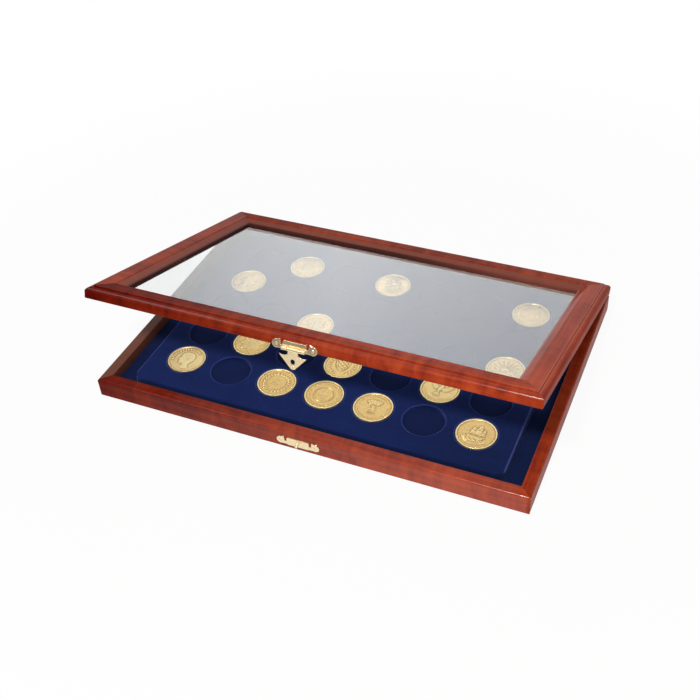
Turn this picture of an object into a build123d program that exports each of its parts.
from build123d import *
import math
import os

# Coin display case: a shallow stained-wood base with a flocked coin tray, and a glazed wooden lid
# on two butt hinges, kept shut by a small swinging hasp over a catch. Millimetres, +Z up, front towards -Y.
# The origin is the centre of the base's underside. The lid stands part-open.

# ---- driving dimensions -----------------------------------------------------------------------

case_width = 372.0          # along X, outside the rails
case_depth = 253.0          # along Y, outside the rails
lid_rest_angle = 18.0       # how far the lid stands open
lid_full_angle = 100.0      # where the back bevels meet and stop the lid

# coins and their grid
coin_diameter = 32.5
coin_thickness = 2.8
coin_rim_width = 1.3
coin_rim_height = 0.3
coin_edge_bevel = 0.18
coin_columns = 7
coin_rows = 5
border_gaps_x = 1.5         # plateau beside the outermost coins, in gaps between coins
border_gaps_y = 3.4
recess_clearance = 0.45     # around a coin, on the radius
recess_depth = 2.6
recess_mouth_bevel = 0.8
filled_recesses = [         # (row from the front, column from the left)
    (1, 1), (1, 3), (1, 4), (1, 5), (1, 7),
    (2, 2), (2, 4), (2, 6),
    (3, 3), (3, 7),
    (4, 1),
    (5, 2), (5, 4), (5, 7),
]

# base
base_height = 17.5
base_rail_width = 9.5
base_edge_radius = 1.5
arris_radius = 0.5
panel_thickness = 3.0
panel_rebate = 4.0
panel_clearance = 0.2
brad_radius = 0.6
brad_head_radius = 1.1
brad_head_height = 0.5
brad_length = 9.0
head_rounding = 0.8         # share of a head's height
brads_per_long_side = 4
brads_per_short_side = 3

# flocked coin tray
tray_clearance = 0.3
tray_drop = 2.0             # plateau below the base's rim
tray_margin_drop = 8.7      # margin around the plateau, below the rim
side_channel = 15.5         # plateau's edge to the inner faces of the side rails
front_channel = 6.05        # the same at the front and back
plateau_corner_radius = 8.0
plateau_taper = 8.0         # degrees, on the plateau's side
plateau_edge_radius = 0.8

# lid
lid_gap = 0.3               # between the closed lid and the base's rim
lid_thickness = 10.7
lid_rail_width = 24.0
lid_face_height = 6.5       # outer face, below the rounded shoulder
shoulder_width = 4.6
shoulder_height = 2.7
shoulder_bulge = 1.0
shoulder_ledge = 0.6        # flat ledge at the foot of the step
flat_top_width = 12.0
inner_step = 0.7
inner_bevel_drop = 3.7
glass_thickness = 2.0
glass_height = 2.2          # glass's underside above the lid's underside
glass_rabbet = 4.5
glass_clearance = 0.4
bead_width = 4.0
bead_lift = 0.15            # bead's underside above the lid's underside
bead_round = 1.2

# hinges
hinge_spacing = 230.0
hinge_length = 30.0
hinge_axis_inset = 2.6      # pin's axis inside the back face
leaf_thickness = 0.9
leaf_margin = 0.8           # wood left between the leaf and the base rail's inner face
knuckle_radius = 1.7
knuckle_gap = 0.25          # between neighbouring knuckles
lid_knuckle_length = 11.0
hinge_pin_radius = 0.7
running_clearance = 0.06
knuckle_clearance = 0.4     # knuckle to wood
bevel_spare_angle = 1.0     # left between the back bevels when the lid is fully open
screw_radius = 0.8
screw_head_radius = 1.6
screw_pitch = 18.0
base_screw_length = 9.0
lid_screw_length = 6.0
fastener_clearance = 0.02

# latch and catch
plate_thickness = 1.0
plate_half_width = 9.6      # middle part of both plates
plate_corner_radius = 1.2
latch_plate_top = 5.5       # above the lid's underside
ear_reach = 18.4            # middle of the latch to an ear's tip
ear_radius = 3.5
ear_rise = 1.7              # ear's centre above the hasp's pivot
ear_neck_height = 3.2
ear_neck_drop = 1.6         # neck's middle below the ear's centre
cusp_root = (-3.5, 0.0)     # from the ear's centre, outwards and up, as are the next two
cusp_point = (-2.8, 4.7)
cusp_shoulder = (1.7, 2.8)
latch_plate_skirt = 0.45    # plate's lower edge below the pivot
latch_pivot_height = 0.2    # above the lid's underside
latch_pivot_out = 2.7       # in front of the lid's face
latch_knuckle_radius = 1.5
latch_pin_radius = 0.6
hasp_knuckle_half = 5.0
hasp_thickness = 0.9
hasp_rest_angle = 5.5       # inwards from the lid's face: here its tip meets the catch plate
hasp_neck_half = 4.1
hasp_neck_drop = 3.5        # below the pivot, as are the next six
hasp_scoop_drop = 5.3
hasp_shoulder_half = 11.4
hasp_shoulder_drop = 4.7
hasp_slot_drop = 9.7
hasp_knob_drop = 13.4
hasp_tip_drop = 16.2
hasp_tip_radius = 2.9
hasp_tip_angle = 37.0       # below the horizontal, where the straight side meets the tip
hasp_slot_width = 3.6
hasp_slot_height = 4.4
hasp_slot_radius = 1.6
hasp_knob_radius = 1.5
hasp_knob_height = 0.9
catch_height = 7.6
catch_centre_drop = 9.8     # below the base's rim
tongue_width = 1.8
tongue_reach = 3.6          # in front of the catch plate
tongue_tip_height = 0.8
tongue_clearance = 0.3      # to the upper and lower ends of the hasp's slot
nail_radius = 0.55
nail_head_radius = 1.25
nail_head_height = 0.7
nail_length = 6.0

# ---- derived places ---------------------------------------------------------------------------


def even_gap(half_length, count, border_gaps):
    """Gap between coins spread evenly over the plateau, borders included."""
    return (2 * half_length - count * coin_diameter) / (count - 1 + 2 * border_gaps)


half_width = case_width / 2
half_depth = case_depth / 2
coin_radius = coin_diameter / 2
recess_radius = coin_radius + recess_clearance
plateau_top = base_height - tray_drop
margin_top = base_height - tray_margin_drop
recess_floor = plateau_top - recess_depth
plateau_half_x = half_width - base_rail_width - side_channel
plateau_half_y = half_depth - base_rail_width - front_channel
column_pitch = coin_diameter + even_gap(plateau_half_x, coin_columns, border_gaps_x)
row_pitch = coin_diameter + even_gap(plateau_half_y, coin_rows, border_gaps_y)
lid_bottom = base_height + lid_gap
hinge_y = half_depth - hinge_axis_inset
hinge_z = base_height + lid_gap / 2
hinge_axis = Axis((0, hinge_y, hinge_z), (-1, 0, 0))
back_bevel_angle = (lid_full_angle + bevel_spare_angle) / 2
latch_pivot_y = -half_depth - latch_pivot_out
latch_pivot_z = lid_bottom + latch_pivot_height
nail_offset = ear_reach - ear_radius
low = (Align.CENTER, Align.CENTER, Align.MIN)


def open_lid(part):
    """Swings a piece from its closed place to where the lid rests."""
    return part.rotate(hinge_axis, lid_rest_angle)


# ---- mitred frames ----------------------------------------------------------------------------

def mitred_rail(profile, length):
    """Runs a profile (inset from the outer face, height) along X and mitres both ends."""
    bar = extrude(Plane.YZ * profile, amount=length / 2, both=True)
    reach = profile.bounding_box().max.X
    height = profile.bounding_box().max.Y
    ends = Polyline(
        (-length / 2, 0), (length / 2, 0), (length / 2 - reach, reach), (reach - length / 2, reach),
        close=True,
    )
    return bar & extrude(make_face(ends), amount=height)


def mitred_frame(profile, base_z):
    """Four mitred rails round the case, by side."""
    across = Pos(0, 0, base_z) * mitred_rail(profile, case_width)
    along = Pos(0, 0, base_z) * mitred_rail(profile, case_depth)
    return {
        "front": Pos(0, -half_depth, 0) * across,
        "right": Pos(half_width, 0, 0) * Rot(0, 0, 90) * along,
        "back": Pos(0, half_depth, 0) * Rot(0, 0, 180) * across,
        "left": Pos(-half_width, 0, 0) * Rot(0, 0, -90) * along,
    }


def base_profile():
    inner = base_rail_width - panel_rebate
    outline = Polyline(
        (0, 0), (inner, 0), (inner, panel_thickness), (base_rail_width, panel_thickness),
        (base_rail_width, base_height), (0, base_height),
        close=True,
    )
    face = make_face(outline)
    corners = face.vertices()
    face = fillet(corners.sort_by_distance((0, base_height))[0], base_edge_radius)
    face = fillet(face.vertices().sort_by_distance((0, 0))[0], arris_radius)
    inner_top = (base_rail_width, base_height)
    return fillet(face.vertices().sort_by_distance(inner_top)[0], arris_radius)


def lid_profile():
    """Rounded shoulder, step, flat top, inner bevel and the glass's rabbet."""
    shoulder_top = lid_face_height + shoulder_height
    step = shoulder_width + shoulder_ledge
    flat_end = step + flat_top_width
    bevel_end = lid_thickness - inner_step - inner_bevel_drop
    rabbet_top = glass_height + glass_thickness
    rabbet_inset = lid_rail_width - glass_rabbet
    chord = math.hypot(shoulder_width, shoulder_height)
    bulge_point = (
        shoulder_width / 2 - shoulder_bulge * shoulder_height / chord,
        lid_face_height + shoulder_height / 2 + shoulder_bulge * shoulder_width / chord,
    )
    shoulder = ThreePointArc((0, lid_face_height), bulge_point, (shoulder_width, shoulder_top))
    rest = Polyline(
        (shoulder_width, shoulder_top), (step, shoulder_top), (step, lid_thickness),
        (flat_end, lid_thickness), (flat_end, lid_thickness - inner_step),
        (lid_rail_width, bevel_end), (lid_rail_width, rabbet_top), (rabbet_inset, rabbet_top),
        (rabbet_inset, 0), (0, 0), (0, lid_face_height),
    )
    face = make_face(shoulder + rest)
    for corner in [(0, 0), (step, lid_thickness), (flat_end, lid_thickness)]:
        face = fillet(face.vertices().sort_by_distance(corner)[0], arris_radius)
    return face


def bead_profile():
    """Small strip that holds the glass up in the rabbet."""
    outer = lid_rail_width - glass_rabbet
    inner = outer + bead_width
    outline = Polyline(
        (outer, bead_lift), (inner, bead_lift), (inner, glass_height), (outer, glass_height),
        close=True,
    )
    face = make_face(outline)
    return fillet(face.vertices().sort_by_distance((inner, bead_lift))[0], bead_round)


# ---- base -------------------------------------------------------------------------------------

def nail(head_radius, head_height, shank_radius, length):
    """Domed nail, head's underside at z = 0 and shank down."""
    dome = Cylinder(head_radius, head_height, align=low)
    dome = fillet(dome.edges().sort_by(Axis.Z)[-1], head_height * head_rounding)
    return dome + Pos(0, 0, -length) * Cylinder(shank_radius, length, align=low)


def spread(count, span):
    """Evenly spaced places, half a space in from both ends."""
    return [span * ((i + 0.5) / count - 0.5) for i in range(count)]


def brad_places():
    inset = base_rail_width - panel_rebate / 2
    long_side = [
        (x, y)
        for x in spread(brads_per_long_side, case_width)
        for y in (inset - half_depth, half_depth - inset)
    ]
    short_side = [
        (x, y)
        for y in spread(brads_per_short_side, case_depth)
        for x in (inset - half_width, half_width - inset)
    ]
    return long_side + short_side


def panel_brads(clearance=0.0):
    """Flat-headed brads driven up through the bottom panel into the rails."""
    head = Cylinder(brad_head_radius + clearance, brad_head_height, align=low)
    brad = head + Cylinder(brad_radius + clearance, brad_length + clearance, align=low)
    return Compound([Pos(x, y, 0) * brad for x, y in brad_places()])


def base_panel():
    opening = base_rail_width - panel_rebate + panel_clearance
    board = Box(
        case_width - 2 * opening, case_depth - 2 * opening, panel_thickness, align=low
    )
    return board - panel_brads(fastener_clearance)


def recess_place(row, column):
    x = (column - (coin_columns + 1) / 2) * column_pitch
    y = (row - (coin_rows + 1) / 2) * row_pitch
    return x, y


def coin_tray():
    """Flocked block: a low margin, a raised plateau and a round recess for each coin."""
    inside = base_rail_width + tray_clearance
    block = Pos(0, 0, panel_thickness) * Box(
        case_width - 2 * inside, case_depth - 2 * inside, margin_top - panel_thickness, align=low
    )
    rise = plateau_top - margin_top
    spread_out = rise * math.tan(math.radians(plateau_taper))
    foot = RectangleRounded(
        2 * (plateau_half_x + spread_out), 2 * (plateau_half_y + spread_out),
        plateau_corner_radius + spread_out,
    )
    plateau = extrude(foot, amount=rise, taper=plateau_taper)
    plateau = fillet(plateau.faces().sort_by(Axis.Z)[-1].edges(), plateau_edge_radius)
    recess = Cylinder(recess_radius, recess_depth, align=low)
    mouth = Cone(
        recess_radius, recess_radius + recess_mouth_bevel, recess_mouth_bevel, align=low
    )
    recess += Pos(0, 0, recess_depth - recess_mouth_bevel) * mouth
    block += Pos(0, 0, margin_top) * plateau
    for row in range(1, coin_rows + 1):
        for column in range(1, coin_columns + 1):
            x, y = recess_place(row, column)
            block -= Pos(x, y, recess_floor) * recess
    return block


def coin(row, column):
    """Disc with a raised rim on both faces, lying in its recess."""
    field = coin_radius - coin_rim_width
    body = Cylinder(coin_radius, coin_thickness, align=low)
    body = chamfer(body.edges(), coin_edge_bevel)
    sunk = Cylinder(field, coin_rim_height, align=low)
    body -= sunk
    body -= Pos(0, 0, coin_thickness - coin_rim_height) * sunk
    x, y = recess_place(row, column)
    return Pos(x, y, recess_floor) * body


# ---- hinges -----------------------------------------------------------------------------------

def x_cylinder(radius, length):
    return Rot(0, 90, 0) * Cylinder(radius, length)


def screw(length, clearance=0.0):
    """Countersunk screw, head flush at z = 0 and shank down."""
    head = Cone(
        screw_radius + clearance, screw_head_radius + clearance, leaf_thickness,
        align=(Align.CENTER, Align.CENTER, Align.MAX),
    )
    shank = Cylinder(
        screw_radius + clearance, length + clearance, align=(Align.CENTER, Align.CENTER, Align.MAX)
    )
    return head + shank


leaf_width = base_rail_width - hinge_axis_inset - leaf_margin
leaf_start = knuckle_radius + knuckle_gap
screw_row = (leaf_start + leaf_width) / 2
outer_knuckle_length = (hinge_length - lid_knuckle_length) / 2 - knuckle_gap
outer_knuckle_x = (hinge_length - outer_knuckle_length) / 2


def leaf_screws(length, clearance=0.0):
    """Screws of one base leaf, about the hinge's axis and pointing down."""
    return [
        Pos(side * screw_pitch / 2, -screw_row, -lid_gap / 2) * screw(length, clearance)
        for side in (-1, 1)
    ]


def hinge_leaf(knuckles, screw_length):
    """Leaf below the parting plane, with its own knuckles. The lid's leaf is its mirror image."""
    top = -lid_gap / 2
    leaf = Pos(0, -(leaf_start + leaf_width) / 2, top - leaf_thickness) * Box(
        hinge_length, leaf_width - leaf_start, leaf_thickness, align=low
    )
    for x, length in knuckles:
        leaf += Pos(x, -leaf_start / 2, top - leaf_thickness) * Box(
            length, leaf_start, leaf_thickness, align=low
        )
        leaf += Pos(x, 0, 0) * x_cylinder(knuckle_radius, length)
    for hole in leaf_screws(screw_length, fastener_clearance):
        leaf -= hole
    return leaf


def base_leaf():
    knuckles = [(side * outer_knuckle_x, outer_knuckle_length) for side in (-1, 1)]
    leaf = hinge_leaf(knuckles, base_screw_length)
    return leaf - x_cylinder(hinge_pin_radius, hinge_length)


def lid_leaf():
    leaf = hinge_leaf([(0, lid_knuckle_length)], lid_screw_length)
    leaf -= x_cylinder(hinge_pin_radius + running_clearance, hinge_length)
    return mirror(leaf, Plane.XY)


def hinge_place(side):
    return Pos(side * hinge_spacing / 2, hinge_y, hinge_z)


def leaf_mortise():
    """Room in the wood below the parting plane for a base leaf."""
    return Pos(0, -leaf_width / 2, -leaf_thickness - lid_gap / 2) * Box(
        hinge_length, leaf_width, leaf_thickness + lid_gap, align=low
    )


def back_bevel():
    """Wedge off the base's back edge, below the parting plane, from the hinge axis outwards."""
    reach = 2 * hinge_axis_inset
    drop = reach * math.tan(math.radians(back_bevel_angle))
    wedge = Polyline((0, 0), (reach, 0), (reach, -drop), close=True)
    bar = extrude(Plane.YZ * make_face(wedge), amount=case_width, both=True)
    return Pos(0, hinge_y, hinge_z) * bar


def hinge_seats(screw_length):
    """What the base's back rail gives up to its two hinges."""
    seat_length = hinge_length + 2 * knuckle_gap
    cuts = []
    for side in (-1, 1):
        place = hinge_place(side)
        cuts.append(place * x_cylinder(knuckle_radius + knuckle_clearance, seat_length))
        cuts.append(place * leaf_mortise())
        cuts += [place * hole for hole in leaf_screws(screw_length, fastener_clearance)]
    return cuts


def hinge_frame(rails, screw_length, flip):
    """Bevels the back of a frame and lets its hinges in. The lid's cuts are mirror images."""
    bevel = flip(back_bevel())
    for side in ("back", "left", "right"):
        rails[side] -= bevel
    rails["back"] -= [flip(cut) for cut in hinge_seats(screw_length)]


# ---- latch and catch --------------------------------------------------------------------------

def facing_front(sketch, thickness, face_y):
    """Extrudes an (x, z) sketch forwards from a front face."""
    return Pos(0, face_y, 0) * extrude(Plane.XZ * sketch, amount=thickness)


def scroll_plate(bottom, top, ear_z):
    """Plate outline: a rounded middle with a pointed, scrolled ear on each side."""
    middle = Pos(0, (bottom + top) / 2) * RectangleRounded(
        2 * plate_half_width, top - bottom, plate_corner_radius
    )
    outline = middle
    neck_width = nail_offset - plate_half_width + plate_corner_radius
    for side in (-1, 1):
        ear_x = side * nail_offset
        cusp = Polyline(
            [(ear_x + side * out, ear_z + up) for out, up in (cusp_root, cusp_point, cusp_shoulder)],
            close=True,
        )
        neck = Pos(ear_x - side * neck_width / 2, ear_z - ear_neck_drop) * Rectangle(
            neck_width, ear_neck_height
        )
        outline += Pos(ear_x, ear_z) * Circle(ear_radius)
        outline += make_face(cusp)
        outline += neck
    return outline


def nail_set(face_y, ear_z, clearance=0.0):
    """One nail through each ear, driven back into the rail."""
    one = nail(nail_head_radius, nail_head_height, nail_radius + clearance, nail_length + clearance)
    return [
        Pos(side * nail_offset, face_y - plate_thickness, ear_z) * Rot(90, 0, 0) * one
        for side in (-1, 1)
    ]


latch_ear_z = latch_pivot_z + ear_rise
catch_z = base_height - catch_centre_drop
hasp_slot_z = latch_pivot_z - hasp_slot_drop


def latch_knuckle(x, length):
    """A knuckle and the short arm that joins it to the plate."""
    barrel = Pos(x, latch_pivot_y, latch_pivot_z) * x_cylinder(latch_knuckle_radius, length)
    arm_depth = latch_pivot_out - plate_thickness
    arm = Pos(x, latch_pivot_y + arm_depth / 2, latch_pivot_z + latch_knuckle_radius / 2) * Box(
        length, arm_depth, latch_knuckle_radius
    )
    return barrel + arm


def latch_plate():
    bottom = latch_pivot_z - latch_plate_skirt
    outline = scroll_plate(bottom, lid_bottom + latch_plate_top, latch_ear_z)
    plate = facing_front(outline, plate_thickness, -half_depth)
    length = plate_half_width - hasp_knuckle_half - knuckle_gap
    for side in (-1, 1):
        plate += latch_knuckle(side * (plate_half_width - length / 2), length)
    plate -= Pos(0, latch_pivot_y, latch_pivot_z) * x_cylinder(latch_pin_radius, case_width)
    for hole in nail_set(-half_depth, latch_ear_z, fastener_clearance):
        plate -= hole
    return plate


def latch_pin():
    return Pos(0, latch_pivot_y, latch_pivot_z) * x_cylinder(latch_pin_radius, 2 * plate_half_width)


def hasp_outline():
    """Neck, scooped shoulders and a blade that narrows to a round tip, down from the pivot."""

    def on_tip(angle):
        across = hasp_tip_radius * math.cos(math.radians(angle))
        return across, hasp_tip_radius - hasp_tip_drop - hasp_tip_radius * math.sin(math.radians(angle))

    neck_top = (hasp_neck_half, 0)
    neck_foot = (hasp_neck_half, -hasp_neck_drop)
    scoop = ((hasp_neck_half + hasp_shoulder_half) / 2, -hasp_scoop_drop)
    shoulder = (hasp_shoulder_half, -hasp_shoulder_drop)
    tip = on_tip(90)
    right = (
        Line((0, 0), neck_top)
        + Line(neck_top, neck_foot)
        + ThreePointArc(neck_foot, scoop, shoulder)
        + Line(shoulder, on_tip(hasp_tip_angle))
        + ThreePointArc(on_tip(hasp_tip_angle), on_tip((90 + hasp_tip_angle) / 2), tip)
        + Line(tip, (0, 0))
    )
    half = make_face(right)
    return half + mirror(half, Plane.YZ)


def hasp():
    """Leaf with its barrel, slot and knob, swung in to rest on the catch plate once shut."""
    outline = hasp_outline() - Pos(0, -hasp_slot_drop) * RectangleRounded(
        hasp_slot_width, hasp_slot_height, hasp_slot_radius
    )
    leaf = facing_front(Pos(0, latch_pivot_z) * outline, hasp_thickness, latch_pivot_y)
    barrel = Pos(0, latch_pivot_y, latch_pivot_z) * x_cylinder(
        latch_knuckle_radius, 2 * hasp_knuckle_half
    )
    knob = Pos(0, latch_pivot_y - hasp_thickness, latch_pivot_z - hasp_knob_drop) * (
        Rot(90, 0, 0) * Cylinder(hasp_knob_radius, hasp_knob_height, align=low)
    )
    bore = Pos(0, latch_pivot_y, latch_pivot_z) * x_cylinder(
        latch_pin_radius + running_clearance, case_width
    )
    pivot = Axis((0, latch_pivot_y, latch_pivot_z), (-1, 0, 0))
    return (leaf + barrel + knob - bore).rotate(pivot, -hasp_rest_angle)


def catch_tongue():
    """Fin for the hasp's slot, sloped on top so that the falling hasp rides out over it."""
    half_room = hasp_slot_height / 2 - tongue_clearance
    bottom = hasp_slot_z - half_room
    root_y = -half_depth - plate_thickness
    outline = Polyline(
        (root_y, hasp_slot_z + half_room), (root_y - tongue_reach, bottom + tongue_tip_height),
        (root_y - tongue_reach, bottom), (root_y, bottom),
        close=True,
    )
    return extrude(Plane.YZ * make_face(outline), amount=tongue_width / 2, both=True)


def catch_plate():
    half = catch_height / 2
    outline = scroll_plate(catch_z - half, catch_z + half, catch_z)
    plate = facing_front(outline, plate_thickness, -half_depth)
    plate += catch_tongue()
    for hole in nail_set(-half_depth, catch_z, fastener_clearance):
        plate -= hole
    return plate


# ---- all the pieces ---------------------------------------------------------------------------

def whole_case():
    pieces = {}

    base = mitred_frame(base_profile(), 0)
    base["front"] -= nail_set(-half_depth, catch_z, fastener_clearance)
    hinge_frame(base, base_screw_length, flip=lambda cut: cut)
    brad_holes = panel_brads(fastener_clearance)
    for side, rail in base.items():
        pieces[f"base_{side}_rail"] = rail - brad_holes
    pieces["base_panel"] = base_panel()
    pieces["panel_brads"] = panel_brads()
    pieces["coin_tray"] = coin_tray()
    pieces["catch_plate"] = catch_plate()
    pieces["catch_nails"] = Compound(nail_set(-half_depth, catch_z))

    lid = mitred_frame(lid_profile(), lid_bottom)
    lid["front"] -= nail_set(-half_depth, latch_ear_z, fastener_clearance)
    hinge_frame(lid, lid_screw_length, flip=lambda cut: mirror(cut, Plane((0, 0, hinge_z))))
    for side, rail in lid.items():
        pieces[f"lid_{side}_rail"] = open_lid(rail)
    for side, bead in mitred_frame(bead_profile(), lid_bottom).items():
        pieces[f"glazing_bead_{side}"] = open_lid(bead)
    glass_inset = lid_rail_width - glass_rabbet + glass_clearance
    glass = Pos(0, 0, lid_bottom + glass_height) * Box(
        case_width - 2 * glass_inset, case_depth - 2 * glass_inset, glass_thickness, align=low
    )
    pieces["glass_pane"] = open_lid(glass)
    pieces["latch_plate"] = open_lid(latch_plate())
    pieces["latch_pin"] = open_lid(latch_pin())
    pieces["latch_nails"] = open_lid(Compound(nail_set(-half_depth, latch_ear_z)))
    pieces["hasp"] = open_lid(hasp())

    base_screws = []
    lid_screws = []
    for name, side in (("left", -1), ("right", 1)):
        place = hinge_place(side)
        pieces[f"{name}_hinge_base_leaf"] = place * base_leaf()
        pieces[f"{name}_hinge_pin"] = place * x_cylinder(hinge_pin_radius, hinge_length)
        pieces[f"{name}_hinge_lid_leaf"] = open_lid(place * lid_leaf())
        base_screws += [place * one for one in leaf_screws(base_screw_length)]
        lid_screws += [place * mirror(one, Plane.XY) for one in leaf_screws(lid_screw_length)]
    pieces["hinge_screws_base"] = Compound(base_screws)
    pieces["hinge_screws_lid"] = open_lid(Compound(lid_screws))

    for row, column in filled_recesses:
        pieces[f"coin_row{row}_col{column}"] = coin(row, column)
    return pieces


os.makedirs("parts", exist_ok=True)
for name, piece in whole_case().items():
    export_step(piece, f"parts/{name}.step")
hasp_pivot = open_lid(latch_pin()).center()
print("hinge axis y, z", hinge_y, hinge_z)
print("hasp pivot at rest", hasp_pivot.Y, hasp_pivot.Z)
